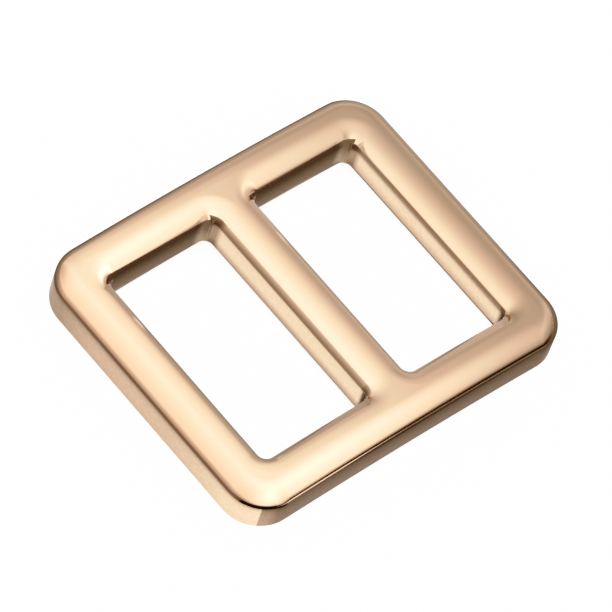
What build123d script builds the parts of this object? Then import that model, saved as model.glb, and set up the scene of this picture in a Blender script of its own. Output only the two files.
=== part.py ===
from build123d import *
import math
import os

# Tri-glide slide for a flat strap. It is one cast metal frame with two strap slots and a centre bar.
# X runs across the slots, Y along the bars that the strap wraps, and Z is up, out of the crowned face.
# The origin is on the surface that the slide rests on, under the middle of the centre bar.

# Plan sizes, in millimetres
strap_opening = 20.0
slot_width = 11.0
centre_bar_width = 4.0
end_bar_width = 4.0
side_bar_width = 4.0
outer_corner_radius = 3.5
slot_corner_radius = 0.8

# Heights, in millimetres
wall_height = 2.75
crown_rise = 1.15
arch_rise = 0.55

# Crown and edges: angle in degrees, sizes in millimetres, and a tolerance for picking faces and edges
shoulder_angle = 55.0
ridge_land = 0.1
crease_radius = 0.15
foot_radius = 0.15
tolerance = 0.01

# Overall sizes and places that follow
overall_length = 2 * end_bar_width + 2 * slot_width + centre_bar_width
overall_width = strap_opening + 2 * side_bar_width
bar_height = wall_height + crown_rise
slot_centre = (centre_bar_width + slot_width) / 2
narrowest_bar = min(centre_bar_width, end_bar_width, side_bar_width)

# The crown leaves the crease as a short slope and turns into the ridge with one large round.
shoulder_run = crown_rise / math.tan(math.radians(shoulder_angle))
ridge_reach = (narrowest_bar - ridge_land) / 2 - shoulder_run
crown_radius = ridge_reach / math.tan(math.radians(shoulder_angle) / 2)


def arched_section():
    """Draw the bent band seen along Y: a strip of even height whose middle stands arch_rise higher."""
    half_length = overall_length / 2
    ThreePointArc((-half_length, 0), (0, arch_rise), (half_length, 0))
    Line((half_length, 0), (half_length, bar_height))
    ThreePointArc((half_length, bar_height), (0, arch_rise + bar_height), (-half_length, bar_height))
    Line((-half_length, bar_height), (-half_length, 0))


with BuildPart() as slide_frame:
    # Bent band with rounded corners
    with BuildSketch(Plane.XZ):
        with BuildLine():
            arched_section()
        make_face()
    extrude(amount=overall_width / 2, both=True)
    fillet(slide_frame.edges().filter_by(Axis.Z), outer_corner_radius)

    # The two strap slots, which leave the centre bar between them
    with BuildSketch(Plane.XY):
        with Locations((-slot_centre, 0), (slot_centre, 0)):
            RectangleRounded(slot_width, strap_opening, slot_corner_radius)
    extrude(amount=arch_rise + bar_height, mode=Mode.SUBTRACT)

    # Sloping shoulders round the outside and round both slots
    top_face = slide_frame.faces().sort_by(Axis.Z)[-1]
    chamfer(top_face.edges(), length=shoulder_run, length2=crown_rise, reference=top_face)

    # Crease between the upright walls and the shoulders, slightly softened
    walls = slide_frame.faces().filter_by(lambda face: abs(face.normal_at().Z) < tolerance)
    crease_band = (wall_height - tolerance, wall_height + arch_rise + tolerance)
    fillet(walls.edges().filter_by_position(Axis.Z, *crease_band), crease_radius)

    # One large round turns the shoulders into the ridge of every bar
    ridge_face = slide_frame.faces().sort_by(Axis.Z)[-1]
    fillet(ridge_face.edges(), crown_radius)

    # Underside edges, broken as tumbling leaves them
    underside = slide_frame.faces().sort_by(Axis.Z)[0]
    fillet(underside.edges(), foot_radius)

slide_frame.part.label = "slide_frame"

os.makedirs("parts", exist_ok=True)
export_step(slide_frame.part, "parts/slide_frame.step")
print("overall", overall_length, overall_width, "crown radius", round(crown_radius, 3))
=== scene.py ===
import math

import bpy
import numpy as np
from mathutils import Matrix, Vector


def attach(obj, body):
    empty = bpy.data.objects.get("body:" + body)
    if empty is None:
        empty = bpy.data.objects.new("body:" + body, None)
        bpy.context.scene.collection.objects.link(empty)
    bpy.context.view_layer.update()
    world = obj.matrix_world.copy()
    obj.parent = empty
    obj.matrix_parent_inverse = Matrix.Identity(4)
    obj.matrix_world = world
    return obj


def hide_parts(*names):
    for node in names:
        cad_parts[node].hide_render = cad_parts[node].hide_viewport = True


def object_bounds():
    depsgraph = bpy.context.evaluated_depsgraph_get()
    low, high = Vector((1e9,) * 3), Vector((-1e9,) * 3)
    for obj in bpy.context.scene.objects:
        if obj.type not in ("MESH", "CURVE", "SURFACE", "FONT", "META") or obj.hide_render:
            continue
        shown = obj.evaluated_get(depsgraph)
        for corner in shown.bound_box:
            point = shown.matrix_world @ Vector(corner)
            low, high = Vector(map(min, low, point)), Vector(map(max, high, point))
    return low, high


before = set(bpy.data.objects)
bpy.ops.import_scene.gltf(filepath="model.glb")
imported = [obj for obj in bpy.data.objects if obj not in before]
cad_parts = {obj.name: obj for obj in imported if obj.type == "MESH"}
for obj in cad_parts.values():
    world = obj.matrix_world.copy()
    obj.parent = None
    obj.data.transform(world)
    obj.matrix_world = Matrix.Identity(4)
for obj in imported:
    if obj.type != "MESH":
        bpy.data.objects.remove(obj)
cad_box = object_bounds()

MM = 0.001
QUARTER_TURN = math.pi / 2

# Plan and heights of the slide in millimetres. The overall sizes come from the frame.
BAR_WIDTH = 4.0
OUTER_CORNER_RADIUS = 3.5
SLOT_CORNER_RADIUS = 0.8
WALL_HEIGHT = 2.75
CROWN_RISE = 1.15
CREASE_RADIUS = 0.6
FOOT_RADIUS = 0.16

# Places that follow
HALF_LENGTH, HALF_WIDTH, OVERALL_HEIGHT = (round(v / MM, 2) for v in cad_box[1])
HALF_BAR = BAR_WIDTH / 2
BAR_HEIGHT = WALL_HEIGHT + CROWN_RISE
ARCH_RISE = OVERALL_HEIGHT - BAR_HEIGHT
SLOT_END_WALL = HALF_LENGTH - BAR_WIDTH
SLOT_SIDE_WALL = HALF_WIDTH - BAR_WIDTH
SLOT_NEAR = HALF_BAR + SLOT_CORNER_RADIUS
SLOT_FAR = SLOT_END_WALL - SLOT_CORNER_RADIUS
SLOT_END = SLOT_SIDE_WALL - SLOT_CORNER_RADIUS
CORNER_X = HALF_LENGTH - OUTER_CORNER_RADIUS
CORNER_Y = HALF_WIDTH - OUTER_CORNER_RADIUS
RIDGE_ARC = SLOT_CORNER_RADIUS + HALF_BAR

# Mesh steps
ARC_STEPS = 20
CROWN_STEPS = 24
FILLET_STEPS = 8
WALL_STEPS = 6
FOOT_STEPS = 4
UNDERSIDE_STEPS = 3
PATCH_STEPS = 3
STRAIGHT_STEP = 1.0
END_STEPS = 2
CORNER_STEPS = ARC_STEPS + 2 * END_STEPS
# Decimals to which vertices of one place agree, and the most that equal places along a wall differ
MERGE_DECIMALS = 4
SAME_PLACE = 1e-9

# Camera at the photograph's viewing angle, framed closer: degrees, metres, millimetres of lens
CAMERA_AZIMUTH = -56.58
CAMERA_ELEVATION = 54.14
CAMERA_ROLL = 20.44
CAMERA_DISTANCE = 0.5395
CAMERA_LENS = 396.0
SENSOR = 36.0

# Metal: the two colours, the plating's pale gold and a rose for its clouds and for a painted warm
# reflection, how rosy the clouds and the painted reflection at the back edge are, and the insets from the
# left and back walls between which the painted reflection's edges fade
PALE_GOLD = (0.957, 0.645, 0.432)
ROSE_CLOUD_AND_REFLECTION_TINT = (0.990, 0.605, 0.395)
ROSE_CLOUDS = 0.35
PAINTED_BACK_REFLECTION = 0.45
PAINTED_LEFT_REFLECTION_INSETS = (HALF_BAR, 1.0)
PAINTED_BACK_REFLECTION_INSETS = (HALF_BAR, 0.7)
# How the polish varies: roughness, darker grain and relief, with sizes and depths in millimetres
ROUGHNESS = 0.11
ROUGHNESS_SPREAD = 0.05
WALL_ROUGHNESS = 0.03
WALL_GRAIN = 0.07
WAVE_SIZE = 5.0
WAVE_DETAIL = 2.0
WAVE_DEPTH = 0.012
GRAIN_SIZE = 0.3
GRAIN_DETAIL = 3.0
GRAIN_DEPTH = 0.0008
# The middle of the noises' range, and how far a normal's Z falls where a crown turns into a wall
NOISE_MIDDLE = (0.35, 0.65)
WALL_NORMAL_Z = (0.25, 0.05)

# Tone: brightness in the scene and as shown. Darks deepen and highlights ease into white. The points from
# 0.84 to 1.16 came from a fit to the photograph's colours and were rounded, and the others are set one by
# one.
TONE = (
    (0.05, 0.015), (0.10, 0.07), (0.15, 0.13), (0.20, 0.19), (0.25, 0.25), (0.48, 0.48),
    (0.70, 0.70), (0.84, 0.80), (0.98, 0.88), (1.09, 0.94), (1.16, 0.98), (1.40, 0.995),
)
WHITE_LEVEL = 1.7

# Soft boxes round the slide: strength, angle from the zenith, azimuth, tightness. The numbers came from a
# fit to the photograph's brightness over the crown and were rounded.
SOFT_BOXES = (
    (1.0, 30, 328, 4.7),
    (1.15, 60, 242, 6.3),
    (0.93, 45, 147, 2.7),
    (0.4, 62, 44, 21.0),
    (14.5, 90, 337, 11.5),
    (16.0, 114, 45, 15.5),
)
# The most that they add up to, and how softly they reach it
SOFT_BOX_LIMIT = 2.0
SOFT_BOX_EASE = 0.4
# Dark band low down on the camera's side, and a dim one on the far side: brightness, height where it
# starts to give way to the soft boxes and where it has gone, as the sine of the elevation
NEAR_BAND = (0.10, 0.08, 0.27)
FAR_BAND = (0.45, -0.10, 0.20)
# Azimuths on the far side, and how the far band comes in towards them, as the cosine of the angle
FAR_AZIMUTHS = (85, 50)
FAR_SPREAD = (-0.15, 0.5)
# Share of the light that stays when the polish sees it by way of a second reflection
SECOND_BOUNCE = 0.55
# Light for the floor, backdrop for the camera, the floor's own glow, how much of it gives way to a lit
# white that takes the soft shadow, how white that is, and the floor's reach in metres
AMBIENT = 1.5
BACKDROP = 1.5
FLOOR_GLOW = 1.5
FLOOR_SHADE = 0.35
FLOOR_WHITE = 0.9
FLOOR_REACH = 8.0

# Diffusing screen over the slide: height above it, how clear it is at its dense side, the middle and
# width of the change along X, the glow of the dense side and where along Y that comes in, its reach, and
# its columns
SCREEN_HEIGHT = 9.0
SCREEN_CLEAR = 0.20
SCREEN_MIDDLE = 16.5
SCREEN_WIDTH = 12.0
SCREEN_GLOW = 0.40
SCREEN_GLOW_ALONG_Y = (-30.0, -5.0)
SCREEN_GLOW_STEPS = 6
SCREEN_REACH = 500.0
SCREEN_COLUMNS = np.arange(-70.0, 101.0, 2.0)
# Strip lights on the screen, along Y: strength, place and half width. The first two came from the same
# fit as the soft boxes, as did the screen's clearness, middle, width and glow.
STRIPS = ((0.16, -16, 2.5), (0.59, -10, 17.5), (0.35, -38, 9.0))

# Heights of the sheets that lie on the floor, one just above another
FIELD_LEVEL = 0.01
FRONT_SHADE_LEVEL = 0.02
STRIP_LEVEL = 0.03
SLOT_FLOOR_LEVEL = 0.05
WALL_SHEET_LEVEL = 0.07
SLOT_END_LEVEL = 0.09

# Brightness of the floor round the slide as its polish sees it, by azimuth, and the field's radii
FIELD = ((0, 0.38), (40, 0.44), (70, 0.42), (100, 0.30), (130, 0.23), (165, 0.21), (220, 0.22),
         (245, 0.17), (260, 0.11), (275, 0.09), (300, 0.11), (330, 0.18), (345, 0.24), (360, 0.38))
FIELD_RADII = (0.0, 30.0, 8000.0)
FIELD_STEP = 5
# Dark patch of floor before the front corner, which blackens the line round it: brightness, cover by
# azimuth and by reach, and the step in azimuth
FRONT_SHADE = 0.03
FRONT_SHADE_TURN = ((180, 0), (195, 1), (270, 1), (285, 0))
FRONT_SHADE_REACH = ((3, 1), (60, 1), (90, 0))
FRONT_SHADE_STEP = 15
# Darker floor beyond the back bar: brightness, and cover by the way past the slide's ends and its back
FAR_SIDE_GLOW = 0.15
FAR_SIDE_PAST_ENDS = ((8, 0), (0, 1))
FAR_SIDE_PAST_BACK = ((-1, 1), (3, 1), (14, 0))
# The slots' floor: brightness by X, and at the near end of the walls that face -X, with how far that
# reaches into the slot and past its end
SLOT_FLOOR = ((-14, 0.37), (-7, 0.37), (-4, 0.27), (-1, 0.27), (1, 0.48), (8, 0.48), (11, 0.27),
              (14, 0.27))
SLOT_END_GLOW = 0.06
SLOT_END_REACH = 2.0
SLOT_END_PAST = 1.0
# Bright strip of floor in front, which makes the thin bright line under the crown of the front bar: glow,
# slant along X, columns of X, share of the glow and how far in front of the slide it starts, the factor
# of that where it is full, and how far in front it starts to fade and has gone
FRONT_STRIP_GLOW = 1.4
FRONT_STRIP_SLANT = 0.57
FRONT_STRIP = ((-20, 0.0, 6), (-14, 1.0, 6), (-9, 1.0, 8), (-5.5, 0.5, 11), (-2, 0.2, 12), (17, 0.15, 12),
               (24, 0.0, 12))
FRONT_STRIP_START = 1.35
FRONT_STRIP_STOP = (110, 150)
# Reflector sheets on the floor beside upright walls: brightness by share of the wall's length
LEFT_WALL = ((0, 1.18), (0.06, 1.05), (0.2, 0.93), (0.35, 0.84), (0.6, 0.79), (0.8, 0.75), (0.9, 0.65),
             (1, 0.52))
LEFT_CORNER = ((0, 0.50), (0.6, 0.50), (0.68, 0.62), (0.8, 0.50), (1, 0.45))
FRONT_CORNER_BRIGHT = ((0, 1.15), (0.3, 1.20), (1, 1.30))
FRONT_CORNER_DIM = ((0, 0.60), (0.25, 0.58), (0.45, 0.46), (0.6, 0.36), (1, 0.31))
FRONT_WALL = ((0, 0.32), (0.3, 0.31), (1, 0.26))
RIGHT_CORNER = ((0, 0.26), (1, 0.36))
# Turn into the front corner where the bright sheet gives way to the dim one, and the azimuths where the
# sheets round the left and right corners stop
EDGE_TURN = 50.5
LEFT_CORNER_STOP = 122
RIGHT_CORNER_STOP = 304
# How the sheets' brightness falls with the height on the wall that mirrors them, how far up it goes, and
# the shares of that height at which it is worked out
EVEN = ((0, 0.90), (0.5, 0.95), (0.9, 1.0))
FALLING = ((0.5, 1.0), (1.4, 0.90), (2.2, 0.72), (3.0, 0.45))
END_TOP = 2.40
CORNER_TOP = 2.45
SIDE_TOP = 2.75
HEIGHT_SHARES = (-0.25, 0.0, 0.15, 0.3, 0.45, 0.6, 0.75, 0.88, 1.0)

# Upright sheets in the slots: distance from the wall that mirrors them, and brightness by height
SHEET_GAP = 0.30
CENTRE_WALL = ((0.0, 0.40), (0.3, 0.50), (0.5, 0.65), (0.7, 0.80), (0.9, 0.97), (1.1, 1.10), (1.3, 1.15),
               (2.2, 1.13), (2.5, 1.05), (2.7, 0.80), (2.85, 0.45), (3.0, 0.30), (3.35, 0.28), (3.6, 0.38),
               (3.9, 0.60), (4.15, 0.85))
RIGHT_WALL = ((0.0, 0.66), (0.2, 0.75), (0.4, 0.84), (0.6, 0.95), (0.8, 1.05), (1.0, 1.12), (1.2, 1.15),
              (1.6, 1.12), (1.85, 1.0), (2.0, 0.68), (2.15, 0.42), (2.35, 0.31), (3.05, 0.30))
SIDE_WALL = ((0.0, 0.26), (0.4, 0.24), (1.0, 0.21), (1.6, 0.16), (2.0, 0.125), (2.6, 0.11), (3.6, 0.11))
# Sheets close behind them that glow the other way, which the far edges of the bars mirror: distance,
# lowest height and brightness
BACK_GAP = 0.05
BACK_BOTTOM = 0.1
CENTRE_BACK_GLOW = 0.45
RIGHT_BACK_GLOW = 0.58
# Length over which the sheets change towards their ends, and brightness there: shares at the ends near
# and far from the camera, and the brightness of the far ends of the sheets behind
SHEET_END = 1.2
SHEET_NEAR_SHARE = 0.18
SHEET_FAR_SHARE = 0.38
SIDE_FAR_SHARE = 1.9
BACK_NEAR_SHARE = 0.85
BACK_FAR_GLOW = 0.88
# Small dark sheets at the slots' near corners: brightness, lowest height, and how far below the crease
# they end
CORNER_SHADE = 0.12
CORNER_SHADE_BOTTOM = 0.05
CORNER_SHADE_BELOW = 0.35


def arch_at(x):
    """How far the bend lifts the slide at that X."""
    return ARCH_RISE * (1 - (x / HALF_LENGTH) ** 2)


def profile():
    """The bar's section from the ridge round to the underside.

    Each row is the inset from the wall, the height, and the normal's parts outward and up.
    """
    crown_radius = (HALF_BAR**2 + CROWN_RISE**2) / (2 * CROWN_RISE)
    centre_z = BAR_HEIGHT - crown_radius
    crown_end = math.asin((HALF_BAR - CREASE_RADIUS) / (crown_radius - CREASE_RADIUS))
    crease_z = centre_z + (crown_radius - CREASE_RADIUS) * math.cos(crown_end)
    rows = []
    for tilt in np.linspace(0, crown_end, CROWN_STEPS + 1):
        s, c = math.sin(tilt), math.cos(tilt)
        rows.append((HALF_BAR - crown_radius * s, centre_z + crown_radius * c, s, c))
    for tilt in np.linspace(crown_end, QUARTER_TURN, FILLET_STEPS + 1)[1:]:
        s, c = math.sin(tilt), math.cos(tilt)
        rows.append((CREASE_RADIUS * (1 - s), crease_z + CREASE_RADIUS * c, s, c))
    for z in np.linspace(crease_z, FOOT_RADIUS, WALL_STEPS + 1)[1:]:
        rows.append((0.0, z, 1.0, 0.0))
    for tilt in np.linspace(0, QUARTER_TURN, FOOT_STEPS + 1)[1:]:
        s, c = math.sin(tilt), math.cos(tilt)
        rows.append((FOOT_RADIUS * (1 - c), FOOT_RADIUS * (1 - s), c, -s))
    for inset in np.linspace(FOOT_RADIUS, HALF_BAR, UNDERSIDE_STEPS + 1)[1:]:
        rows.append((inset, 0.0, 0.0, -1.0))
    return rows


def straight(x0, y0, x1, y1, inward, count=None):
    """Stations along a straight wall: (x, y, inward x, inward y)."""
    count = count or max(1, round(math.dist((x0, y0), (x1, y1)) / STRAIGHT_STEP))
    return [
        (x0 + (x1 - x0) * t, y0 + (y1 - y0) * t, *inward) for t in np.linspace(0, 1, count + 1)
    ]


def corner(cx, cy, radius, start, stop, side, count=ARC_STEPS):
    """Stations round a corner. side is 1 where the metal lies outside the arc and -1 inside it."""
    stations = []
    for a in np.linspace(start, stop, count + 1):
        c, s = math.cos(a), math.sin(a)
        stations.append((cx + radius * c, cy + radius * s, side * c, side * s))
    return stations


def quarter_paths():
    """The outer wall and the slot wall of the quarter with positive X and Y."""
    columns = [RIDGE_ARC * (1 - math.cos(a)) for a in np.linspace(0, QUARTER_TURN, ARC_STEPS + 1)]
    outer = [(x, HALF_WIDTH, 0.0, -1.0) for x in columns]
    outer += straight(SLOT_NEAR, HALF_WIDTH, SLOT_FAR, HALF_WIDTH, (0.0, -1.0))[1:]
    outer += straight(SLOT_FAR, HALF_WIDTH, CORNER_X, HALF_WIDTH, (0.0, -1.0), END_STEPS)[1:]
    outer += corner(CORNER_X, CORNER_Y, OUTER_CORNER_RADIUS, QUARTER_TURN, 0, -1)[1:]
    outer += straight(HALF_LENGTH, CORNER_Y, HALF_LENGTH, SLOT_END, (-1.0, 0.0), END_STEPS)[1:]
    outer += straight(HALF_LENGTH, SLOT_END, HALF_LENGTH, 0.0, (-1.0, 0.0))[1:]
    slot = straight(HALF_BAR, 0.0, HALF_BAR, SLOT_END, (-1.0, 0.0))
    slot += corner(SLOT_NEAR, SLOT_END, SLOT_CORNER_RADIUS, 2 * QUARTER_TURN, QUARTER_TURN, 1)[1:]
    slot += straight(SLOT_NEAR, SLOT_SIDE_WALL, SLOT_FAR, SLOT_SIDE_WALL, (0.0, 1.0))[1:]
    slot += corner(SLOT_FAR, SLOT_END, SLOT_CORNER_RADIUS, QUARTER_TURN, 0, 1, CORNER_STEPS)[1:]
    slot += straight(SLOT_END_WALL, SLOT_END, SLOT_END_WALL, 0.0, (1.0, 0.0))[1:]
    return outer, slot


def swept(path, rows):
    """Grid of (place, normal) that carries the section along a wall."""
    return [
        [
            ((x + inset * ix, y + inset * iy, z), (-ix * out, -iy * out, up))
            for inset, z, out, up in rows
        ]
        for x, y, ix, iy in path
    ]


def patch(edge_a, edge_b, z, up):
    """Flat grid between two lines of the ridge, where bars meet."""
    return [
        [
            ((a[0] + (b[0] - a[0]) * t, a[1] + (b[1] - a[1]) * t, z), (0.0, 0.0, up))
            for t in np.linspace(0, 1, PATCH_STEPS + 1)
        ]
        for a, b in zip(edge_a, edge_b)
    ]


def quarter_grids():
    """Grids that cover the quarter: both walls with their crowns, and the patches where bars meet."""
    outer, slot = quarter_paths()
    rows = profile()
    grids = [swept(outer, rows), swept(slot, rows)]
    tee_arc = [
        (SLOT_NEAR - RIDGE_ARC * math.cos(a), SLOT_END + RIDGE_ARC * math.sin(a))
        for a in np.linspace(0, QUARTER_TURN, ARC_STEPS + 1)
    ]
    tee_line = [(x, HALF_WIDTH - HALF_BAR) for x, _ in tee_arc]
    corner_arc = [
        (SLOT_FAR + RIDGE_ARC * math.sin(a), SLOT_END + RIDGE_ARC * math.cos(a))
        for a in np.linspace(0, QUARTER_TURN, CORNER_STEPS + 1)
    ]
    first = next(i for i, s in enumerate(outer) if abs(s[0] - SLOT_FAR) < SAME_PLACE)
    round_corner = outer[first : first + CORNER_STEPS + 1]
    corner_ridge = [(x + HALF_BAR * ix, y + HALF_BAR * iy) for x, y, ix, iy in round_corner]
    for z, up in ((BAR_HEIGHT, 1.0), (0.0, -1.0)):
        grids.append(patch(tee_arc, tee_line, z, up))
        grids.append(patch(corner_arc, corner_ridge, z, up))
    return grids


def slide_mesh():
    """Closed mesh of the whole slide from the quarter's grids, with exact normals."""
    places, normals, faces, index = [], [], [], {}

    def vertex(place, normal):
        """Number of the vertex at a place of the straight slide, bent with its normal when it is new."""
        key = tuple(round(v, MERGE_DECIMALS) + 0.0 for v in place)
        if key not in index:
            x, y, z = place
            slope = -2 * ARCH_RISE * x / HALF_LENGTH**2
            bent = Vector((normal[0] - slope * normal[2], normal[1], normal[2])).normalized()
            index[key] = len(places)
            places.append(Vector((x, y, z + arch_at(x))))
            normals.append(bent)
        return index[key]

    for grid in quarter_grids():
        for mx, my in ((1, 1), (-1, 1), (1, -1), (-1, -1)):
            ids = [
                [vertex((p[0] * mx, p[1] * my, p[2]), (n[0] * mx, n[1] * my, n[2])) for p, n in line]
                for line in grid
            ]
            for a, b in zip(ids, ids[1:]):
                for corners in zip(a, a[1:], b[1:], b):
                    loop = list(dict.fromkeys(corners))
                    if len(loop) < 3:
                        continue
                    p = [places[i] for i in loop]
                    facing = (p[1] - p[0]).cross(p[-1] - p[0])
                    if facing.dot(sum((normals[i] for i in loop), Vector())) < 0:
                        loop.reverse()
                    faces.append(loop)
    mesh = bpy.data.meshes.new("slide_frame_polished")
    mesh.from_pydata([p * MM for p in places], [], faces)
    mesh.shade_smooth()
    mesh.normals_split_custom_set_from_vertices([n[:] for n in normals])
    mesh.validate()
    return mesh


class Graph:
    """A cleared node tree with short ways to add and link nodes."""

    def __init__(self, tree):
        tree.nodes.clear()
        self.tree = tree

    def add(self, kind, **values):
        """New node of that kind with its settings."""
        node = self.tree.nodes.new(kind)
        for key, value in values.items():
            setattr(node, key, value)
        return node

    def feed(self, socket, value):
        """Sets a socket to a number or colour, or links an output to it."""
        if isinstance(value, bpy.types.NodeSocket):
            self.tree.links.new(value, socket)
        else:
            socket.default_value = value

    def math(self, operation, *inputs):
        """Output of a new math node with those inputs."""
        node = self.add("ShaderNodeMath", operation=operation)
        for socket, value in zip(node.inputs, inputs):
            self.feed(socket, value)
        return node.outputs[0]

    def ramp(self, value, start, stop, low=0.0, high=1.0):
        """Goes smoothly from low to high while value goes from start to stop."""
        node = self.add("ShaderNodeMapRange", interpolation_type="SMOOTHSTEP")
        names = ("Value", "From Min", "From Max", "To Min", "To Max")
        for name, item in zip(names, (value, start, stop, low, high)):
            self.feed(node.inputs[name], item)
        return node.outputs["Result"]

    def blend(self, share, a, b):
        """Goes from a to b as share goes from 0 to 1."""
        node = self.add("ShaderNodeMix", data_type="FLOAT")
        for socket, item in zip((node.inputs[0], node.inputs[2], node.inputs[3]), (share, a, b)):
            self.feed(socket, item)
        return node.outputs[0]

    def noise(self, place, size, detail):
        """Noise with features about that many millimetres across."""
        node = self.add("ShaderNodeTexNoise")
        self.feed(node.inputs["Vector"], place)
        self.feed(node.inputs["Scale"], 1 / (size * MM))
        self.feed(node.inputs["Detail"], detail)
        return node.outputs["Fac"]


def new_material(name):
    """New material and its cleared graph."""
    material = bpy.data.materials.new(name)
    material.use_nodes = True
    return material, Graph(material.node_tree)


def polished_gold():
    """Polished plating on a casting with rosy clouds, a painted warm reflection at two edges, faint waves
    and grainy walls.
    """
    material, graph = new_material("polished_rose_gold")
    place = graph.add("ShaderNodeTexCoord")
    waves = graph.noise(place.outputs["Object"], WAVE_SIZE, WAVE_DETAIL)
    grain = graph.noise(place.outputs["Object"], GRAIN_SIZE, GRAIN_DETAIL)
    split = graph.add("ShaderNodeSeparateXYZ")
    graph.feed(split.inputs[0], place.outputs["Normal"])
    wall = graph.ramp(graph.math("ABSOLUTE", split.outputs["Z"]), *WALL_NORMAL_Z)
    speckle = graph.math("MULTIPLY", wall, graph.ramp(grain, *NOISE_MIDDLE, 0.0, WALL_GRAIN))

    # Painted warm reflection: the left bar's outer side and the back edge get a rosier colour, which stands
    # in for warm light the polish mirrors there
    where = graph.add("ShaderNodeSeparateXYZ")
    graph.feed(where.inputs[0], place.outputs["Object"])
    left = graph.ramp(where.outputs["X"], *((inset - HALF_LENGTH) * MM for inset in PAINTED_LEFT_REFLECTION_INSETS))
    painted_back_reflection_edge = ((HALF_WIDTH - inset) * MM for inset in PAINTED_BACK_REFLECTION_INSETS)
    back = graph.ramp(where.outputs["Y"], *painted_back_reflection_edge, 0.0, PAINTED_BACK_REFLECTION)
    # The rose share joins that painted reflection with random clouds in the plating, and stays off the
    # walls
    cloud_and_painted_reflection = graph.math("MAXIMUM", left, back)
    cloud_and_painted_reflection = graph.math("MAXIMUM", cloud_and_painted_reflection, graph.ramp(waves, *NOISE_MIDDLE, 0.0, ROSE_CLOUDS))
    cloud_and_painted_reflection = graph.math("MULTIPLY", cloud_and_painted_reflection, graph.math("SUBTRACT", 1.0, wall))
    tint = graph.add("ShaderNodeMix", data_type="RGBA")
    graph.feed(tint.inputs["Factor"], cloud_and_painted_reflection)
    graph.feed(tint.inputs["A"], (*PALE_GOLD, 1.0))
    graph.feed(tint.inputs["B"], (*ROSE_CLOUD_AND_REFLECTION_TINT, 1.0))
    darker = graph.add("ShaderNodeMix", data_type="RGBA", blend_type="MULTIPLY")
    graph.feed(darker.inputs["Factor"], speckle)
    graph.feed(darker.inputs["A"], tint.outputs["Result"])
    graph.feed(darker.inputs["B"], (0.0, 0.0, 0.0, 1.0))

    rough = graph.math("MULTIPLY_ADD", waves, ROUGHNESS_SPREAD, ROUGHNESS)
    rough = graph.math("MULTIPLY_ADD", wall, WALL_ROUGHNESS, rough)

    relief = None
    for height, depth in ((waves, WAVE_DEPTH), (grain, GRAIN_DEPTH)):
        bump = graph.add("ShaderNodeBump")
        graph.feed(bump.inputs["Height"], height)
        graph.feed(bump.inputs["Distance"], depth * MM)
        if relief:
            graph.feed(bump.inputs["Normal"], relief)
        relief = bump.outputs[0]

    metal = graph.add("ShaderNodeBsdfPrincipled")
    graph.feed(metal.inputs["Metallic"], 1.0)
    graph.feed(metal.inputs["Base Color"], darker.outputs["Result"])
    graph.feed(metal.inputs["Roughness"], rough)
    graph.feed(metal.inputs["Normal"], relief)
    out = graph.add("ShaderNodeOutputMaterial")
    graph.feed(out.inputs["Surface"], metal.outputs[0])
    return material


def after_bounces(graph, brightness):
    """Dims what the polish sees by way of a second reflection, where the depth is 2 or more."""
    depth = graph.add("ShaderNodeLightPath").outputs["Glossy Depth"]
    again = graph.math("GREATER_THAN", depth, 1.5)
    return graph.math("MULTIPLY", brightness, graph.math("MULTIPLY_ADD", again, SECOND_BOUNCE - 1, 1.0))


def studio_world():
    """Soft boxes for reflections, even ambient light for the floor and a pale backdrop for the camera."""
    world = bpy.data.worlds.new("studio")
    world.use_nodes = True
    bpy.context.scene.world = world
    graph = Graph(world.node_tree)
    direction = graph.add("ShaderNodeTexCoord").outputs["Generated"]

    def towards(zenith, azimuth):
        """Cosine of the angle between the ray and a direction."""
        z, a = math.radians(zenith), math.radians(azimuth)
        dot = graph.add("ShaderNodeVectorMath", operation="DOT_PRODUCT")
        graph.feed(dot.inputs[0], direction)
        graph.feed(dot.inputs[1], (math.sin(z) * math.cos(a), math.sin(z) * math.sin(a), math.cos(z)))
        return dot.outputs["Value"]

    boxes = 0.0
    for strength, zenith, azimuth, tightness in SOFT_BOXES:
        near = graph.math("MULTIPLY_ADD", towards(zenith, azimuth), tightness, -tightness)
        boxes = graph.math("MULTIPLY_ADD", graph.math("EXPONENT", near), strength, boxes)
    knee = SOFT_BOX_LIMIT - SOFT_BOX_EASE
    over = graph.math("MAXIMUM", graph.math("SUBTRACT", boxes, knee), 0.0)
    eased = graph.math("EXPONENT", graph.math("MULTIPLY", over, -1 / SOFT_BOX_EASE))
    eased = graph.math("MULTIPLY_ADD", eased, -SOFT_BOX_EASE, SOFT_BOX_EASE)
    boxes = graph.math("ADD", graph.math("MINIMUM", boxes, knee), eased)
    far = graph.math("MAXIMUM", *(graph.ramp(towards(90, a), *FAR_SPREAD) for a in FAR_AZIMUTHS))
    band, start, stop = (graph.blend(far, a, b) for a, b in zip(NEAR_BAND, FAR_BAND))
    seen = graph.blend(graph.ramp(towards(0, 0), start, stop), band, boxes)

    path = graph.add("ShaderNodeLightPath").outputs
    total = graph.math("MULTIPLY", path["Is Glossy Ray"], after_bounces(graph, seen))
    total = graph.math("MULTIPLY_ADD", path["Is Diffuse Ray"], AMBIENT, total)
    total = graph.math("MULTIPLY_ADD", path["Is Camera Ray"], BACKDROP, total)
    background = graph.add("ShaderNodeBackground")
    graph.feed(background.inputs["Strength"], total)
    graph.feed(background.inputs["Color"], (1.0, 1.0, 1.0, 1.0))
    out = graph.add("ShaderNodeOutputWorld")
    graph.feed(out.inputs["Surface"], background.outputs[0])


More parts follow.
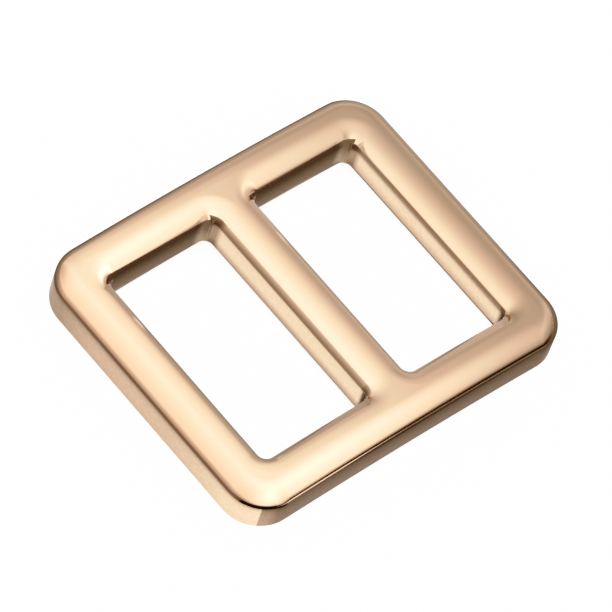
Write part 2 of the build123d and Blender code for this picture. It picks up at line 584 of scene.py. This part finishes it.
def floor():
    """White floor with a faint soft shadow. Reflections see the sheets of light instead."""
    r = FLOOR_REACH
    mesh = bpy.data.meshes.new("floor")
    mesh.from_pydata([(-r, -r, 0), (r, -r, 0), (r, r, 0), (-r, r, 0)], [], [(0, 1, 2, 3)])
    obj = bpy.data.objects.new("floor", mesh)
    bpy.context.scene.collection.objects.link(obj)
    obj.visible_glossy = False
    material, graph = new_material("floor")
    mesh.materials.append(material)
    white = graph.add("ShaderNodeBsdfDiffuse")
    graph.feed(white.inputs["Color"], (FLOOR_WHITE, FLOOR_WHITE, FLOOR_WHITE, 1.0))
    glow = graph.add("ShaderNodeEmission")
    graph.feed(glow.inputs["Strength"], FLOOR_GLOW)
    mix = graph.add("ShaderNodeMixShader")
    graph.feed(mix.inputs[0], FLOOR_SHADE)
    graph.feed(mix.inputs[1], glow.outputs[0])
    graph.feed(mix.inputs[2], white.outputs[0])
    out = graph.add("ShaderNodeOutputMaterial")
    graph.feed(out.inputs["Surface"], mix.outputs[0])


def light_material(name, one_sided):
    """Glows and lets light through as the mesh's attributes say, and shows only in reflections."""
    material, graph = new_material(name)
    light = graph.add("ShaderNodeAttribute", attribute_name="light").outputs["Fac"]
    clear = graph.add("ShaderNodeAttribute", attribute_name="clear").outputs["Fac"]
    if one_sided:
        behind = graph.add("ShaderNodeNewGeometry").outputs["Backfacing"]
        light = graph.math("MULTIPLY", light, graph.math("SUBTRACT", 1.0, behind))
        clear = graph.math("MAXIMUM", clear, behind)
    emission = graph.add("ShaderNodeEmission")
    graph.feed(emission.inputs["Strength"], after_bounces(graph, light))
    veil = graph.add("ShaderNodeBsdfTransparent")
    graph.feed(veil.inputs["Color"], clear)
    both = graph.add("ShaderNodeAddShader")
    graph.feed(both.inputs[0], emission.outputs[0])
    graph.feed(both.inputs[1], veil.outputs[0])
    out = graph.add("ShaderNodeOutputMaterial")
    graph.feed(out.inputs["Surface"], both.outputs[0])
    material.cycles.emission_sampling = "NONE"
    return material


def sheet(name, grid, material):
    """Sheet of light from a grid of (x, y, z, light, clear), in millimetres, that only reflections see."""
    points = [point for row in grid for point in row]
    wide = len(grid[0])
    starts = [r * wide + c for r in range(len(grid) - 1) for c in range(wide - 1)]
    mesh = bpy.data.meshes.new(name)
    mesh.from_pydata(
        [(x * MM, y * MM, z * MM) for x, y, z, _, _ in points],
        [],
        [(i, i + 1, i + 1 + wide, i + wide) for i in starts],
    )
    for attribute, column in (("light", 3), ("clear", 4)):
        data = mesh.attributes.new(attribute, "FLOAT", "POINT").data
        data.foreach_set("value", [float(point[column]) for point in points])
    mesh.materials.append(material)
    obj = bpy.data.objects.new(name, mesh)
    bpy.context.scene.collection.objects.link(obj)
    obj.visible_camera = False
    obj.visible_diffuse = False
    obj.visible_shadow = False
    obj.visible_transmission = False
    obj.visible_volume_scatter = False


def table(pairs, value, period=None):
    """Value read off a table of pairs, in between by straight lines."""
    return float(np.interp(value, [p[0] for p in pairs], [p[1] for p in pairs], period=period))


def camera_axes():
    """Unit vectors of the camera before its roll: to its right, and back from the slide to it."""
    a, e = math.radians(CAMERA_AZIMUTH), math.radians(CAMERA_ELEVATION)
    back = Vector((math.sin(a) * math.cos(e), -math.cos(a) * math.cos(e), math.sin(e)))
    return Vector((math.cos(a), math.sin(a), 0)), back


def beside_wall(name, stations, lights, fall, top, material):
    """Sheet on the floor where the camera sees it mirrored in an upright wall.

    lights gives its brightness by the share of the wall's length, and fall by the height on the wall.
    The sheet ends where the mirrored place is top above the bent underside.
    """
    _, back = camera_axes()
    shares = np.linspace(0, 1, len(stations))
    grid = []
    for step in HEIGHT_SHARES:
        row = []
        for share, (x, y, ix, iy) in zip(shares, stations):
            height = step * (top + arch_at(x))
            dot = -(ix * back.x + iy * back.y)
            dx = (-2 * dot * ix - back.x) / back.z
            dy = (-2 * dot * iy - back.y) / back.z
            cover = 1.0 if step < 1 else 0.0
            light = table(lights, share) * table(fall, height)
            row.append((x + dx * height, y + dy * height, WALL_SHEET_LEVEL, light * cover, 1 - cover))
        grid.append(row)
    sheet(name, grid, material)


def lying(name, columns, rows, level, light, material):
    """Sheet on the floor. columns and rows give its cover by X and by Y."""
    grid = [[(x, y, level, light * a * b, 1 - a * b) for x, a in columns] for y, b in rows]
    sheet(name, grid, material)


def floor_sheets(material):
    """Sheets that lie on the floor: the wide field, the slots' floor and those beside the walls."""
    field = []
    for radius in FIELD_RADII:
        row = []
        for angle in range(0, 361, FIELD_STEP):
            a = math.radians(angle)
            light = table(FIELD, angle, 360)
            row.append((radius * math.cos(a), radius * math.sin(a), FIELD_LEVEL, light, 0.0))
        field.append(row)
    sheet("field", field, material)
    shade = []
    first, last = FRONT_SHADE_TURN[0][0], FRONT_SHADE_TURN[-1][0]
    for radius, a in FRONT_SHADE_REACH:
        row = []
        for angle in range(first, last + 1, FRONT_SHADE_STEP):
            turn, cover = math.radians(angle), a * table(FRONT_SHADE_TURN, angle)
            x, y = radius * math.cos(turn) - CORNER_X, radius * math.sin(turn) - CORNER_Y
            row.append((x, y, FRONT_SHADE_LEVEL, FRONT_SHADE * cover, 1 - cover))
        shade.append(row)
    sheet("front_shade", shade, material)

    columns = [(-HALF_LENGTH - past, cover) for past, cover in FAR_SIDE_PAST_ENDS]
    columns += [(HALF_LENGTH + past, cover) for past, cover in reversed(FAR_SIDE_PAST_ENDS)]
    rows = [(HALF_WIDTH + past, cover) for past, cover in FAR_SIDE_PAST_BACK]
    lying("far_side", columns, rows, STRIP_LEVEL, FAR_SIDE_GLOW, material)
    strip = []
    full, gone = FRONT_STRIP_STOP
    for x, cover, near in FRONT_STRIP:
        row = []
        for way, share in ((near, 0), (FRONT_STRIP_START * near, cover), (full, cover), (gone, 0)):
            x_there, y_there = x + FRONT_STRIP_SLANT * way, -HALF_WIDTH - way
            row.append((x_there, y_there, STRIP_LEVEL, FRONT_STRIP_GLOW * share, 1 - share))
        strip.append(row)
    sheet("front_strip", strip, material)
    slots = [
        [(x, y, SLOT_FLOOR_LEVEL, light, 0.0) for x, light in SLOT_FLOOR]
        for y in (-SLOT_SIDE_WALL, SLOT_SIDE_WALL)
    ]
    sheet("slot_floor", slots, material)
    for name, wall in (("centre", -HALF_BAR), ("right", SLOT_END_WALL)):
        columns = ((wall - SHEET_GAP, 1), (wall + SHEET_GAP, 1))
        rows = ((-SLOT_SIDE_WALL - SLOT_END_PAST, 1), (SLOT_END_REACH / 2 - SLOT_SIDE_WALL, 1),
                (SLOT_END_REACH - SLOT_SIDE_WALL, 0))
        lying(name + "_slot_end", columns, rows, SLOT_END_LEVEL, SLOT_END_GLOW, material)

    bright_stop = math.pi + math.radians(EDGE_TURN)
    left = straight(-HALF_LENGTH, -CORNER_Y, -HALF_LENGTH, CORNER_Y, (1.0, 0.0))
    left_stop, right_stop = math.radians(LEFT_CORNER_STOP), math.radians(RIGHT_CORNER_STOP)
    left_corner = corner(-CORNER_X, CORNER_Y, OUTER_CORNER_RADIUS, math.pi, left_stop, -1)
    front_bright = corner(-CORNER_X, -CORNER_Y, OUTER_CORNER_RADIUS, math.pi, bright_stop, -1)
    front_dim = corner(-CORNER_X, -CORNER_Y, OUTER_CORNER_RADIUS, bright_stop, 3 * QUARTER_TURN, -1)
    front = straight(-CORNER_X, -HALF_WIDTH, CORNER_X, -HALF_WIDTH, (0.0, 1.0))
    right_corner = corner(CORNER_X, -CORNER_Y, OUTER_CORNER_RADIUS, 3 * QUARTER_TURN, right_stop, -1)
    beside_wall("left_wall_light", left, LEFT_WALL, EVEN, END_TOP, material)
    beside_wall("left_corner_light", left_corner, LEFT_CORNER, EVEN, CORNER_TOP, material)
    beside_wall("front_corner_bright", front_bright, FRONT_CORNER_BRIGHT, EVEN, CORNER_TOP, material)
    beside_wall("front_corner_dim", front_dim, FRONT_CORNER_DIM, FALLING, CORNER_TOP, material)
    beside_wall("front_wall_light", front, FRONT_WALL, FALLING, SIDE_TOP, material)
    beside_wall("right_corner_light", right_corner, RIGHT_CORNER, FALLING, CORNER_TOP, material)


def upright(name, start, stop, column, material, first=1.0, last=1.0):
    """Upright sheet that glows to the right of the way to stop.

    column gives its height and brightness, and first and last the share of that at its two ends.
    """
    start, stop = Vector(start), Vector(stop)
    inset = min(SHEET_END / (stop - start).length, 0.5)
    stations = ((0.0, first), (inset / 2, first), (inset, 1.0))
    stations += ((1.0 - inset, 1.0), (1.0 - inset / 2, last), (1.0, last))
    grid = [[(*start.lerp(stop, t), z, light * share, 0.0) for t, share in stations] for z, light in column]
    sheet(name, grid, material)


def slot_sheets(material):
    """One-sided sheets in the slots, just before the three walls of each that the camera sees mirrored."""
    y = SLOT_SIDE_WALL
    # The corner shades lie along the ray that the flat wall mirrors, so that only the corner shows them
    _, to_camera = camera_axes()
    slant = SHEET_GAP * to_camera.y / to_camera.x
    for name, wall, column, back in (
        ("centre", -HALF_BAR, CENTRE_WALL, CENTRE_BACK_GLOW),
        ("right", SLOT_END_WALL, RIGHT_WALL, RIGHT_BACK_GLOW),
    ):
        x = wall - SHEET_GAP
        upright(name + "_wall_light", (x, -y), (x, y), column, material, SHEET_NEAR_SHARE, SHEET_FAR_SHARE)
        plain = ((BACK_BOTTOM, back), (OVERALL_HEIGHT, back))
        start, stop = (x - BACK_GAP, y - SHEET_GAP), (x - BACK_GAP, -y)
        far_share = BACK_FAR_GLOW / back
        upright(name + "_wall_back", start, stop, plain, material, far_share, BACK_NEAR_SHARE)
        shade_top = WALL_HEIGHT + arch_at(wall) - CORNER_SHADE_BELOW
        shade = ((CORNER_SHADE_BOTTOM, CORNER_SHADE), (shade_top, CORNER_SHADE))
        upright(name + "_corner_shade", (x, slant - SLOT_END), (wall, -SLOT_END), shade, material)
    y = SLOT_SIDE_WALL - SHEET_GAP
    for name, x0, x1, back in (
        ("left", -SLOT_END_WALL, -HALF_BAR, CENTRE_BACK_GLOW),
        ("right", HALF_BAR, SLOT_END_WALL, RIGHT_BACK_GLOW),
    ):
        plain = ((BACK_BOTTOM, back), (OVERALL_HEIGHT, back))
        start, stop = (x0, y - BACK_GAP), (x1 - SHEET_GAP, y - BACK_GAP)
        upright(name + "_side_light", (x1, y), (x0, y), SIDE_WALL, material, first=SIDE_FAR_SHARE)
        upright(name + "_side_back", start, stop, plain, material, last=BACK_FAR_GLOW / back)


def screen(material):
    """Thin diffusing screen above the slide, denser to one side, with soft strip lights along Y."""
    columns = [-SCREEN_REACH, *SCREEN_COLUMNS, SCREEN_REACH]
    rows = [-SCREEN_REACH, *np.linspace(*SCREEN_GLOW_ALONG_Y, SCREEN_GLOW_STEPS), SCREEN_REACH]
    glow_start, glow_full = SCREEN_GLOW_ALONG_Y
    grid = []
    for y in rows:
        share = min(max((y - glow_start) / (glow_full - glow_start), 0), 1)
        share *= share * (3 - 2 * share)
        row = []
        for x in columns:
            turn = math.tanh((x - SCREEN_MIDDLE) / SCREEN_WIDTH)
            clear = SCREEN_CLEAR + (1 - SCREEN_CLEAR) * (1 - turn) / 2
            strips = sum(a * math.exp(-(((x - c) / w) ** 2)) for a, c, w in STRIPS)
            light = strips + SCREEN_GLOW * (1 - clear) * share
            row.append((x, y, BAR_HEIGHT + SCREEN_HEIGHT, light, clear))
        grid.append(row)
    sheet("screen", grid, material)


def camera():
    """Camera that sees the slide at the photograph's angle and looks at its middle."""
    data = bpy.data.cameras.new("camera")
    data.lens = CAMERA_LENS
    data.sensor_width = SENSOR
    obj = bpy.data.objects.new("camera", data)
    bpy.context.scene.collection.objects.link(obj)
    right, back = camera_axes()
    level = Matrix((right, back.cross(right), back)).transposed()
    turn = level @ Matrix.Rotation(math.radians(CAMERA_ROLL), 3, "Z")
    target = Vector((0, 0, BAR_HEIGHT / 2 * MM))
    obj.matrix_world = Matrix.Translation(target + back * CAMERA_DISTANCE) @ turn.to_4x4()
    bpy.context.scene.camera = obj


def exposure():
    """Tone curve from the table, the same for every colour."""
    settings = bpy.context.scene.view_settings
    settings.view_transform = "Standard"
    settings.look = "None"
    settings.use_curve_mapping = True
    mapping = settings.curve_mapping
    mapping.white_level = (WHITE_LEVEL, WHITE_LEVEL, WHITE_LEVEL)
    for scene_value, shown in TONE:
        mapping.curves[3].points.new(scene_value / WHITE_LEVEL, shown)
    mapping.update()


camera()
exposure()
studio_world()
floor()
sheets = light_material("sheet_of_light", one_sided=False)
floor_sheets(sheets)
screen(sheets)
slot_sheets(light_material("one_sided_light", one_sided=True))

slide = bpy.data.objects.new("slide_frame_polished", slide_mesh())
bpy.context.scene.collection.objects.link(slide)
slide.data.materials.append(polished_gold())
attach(slide, "root")
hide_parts("slide_frame")
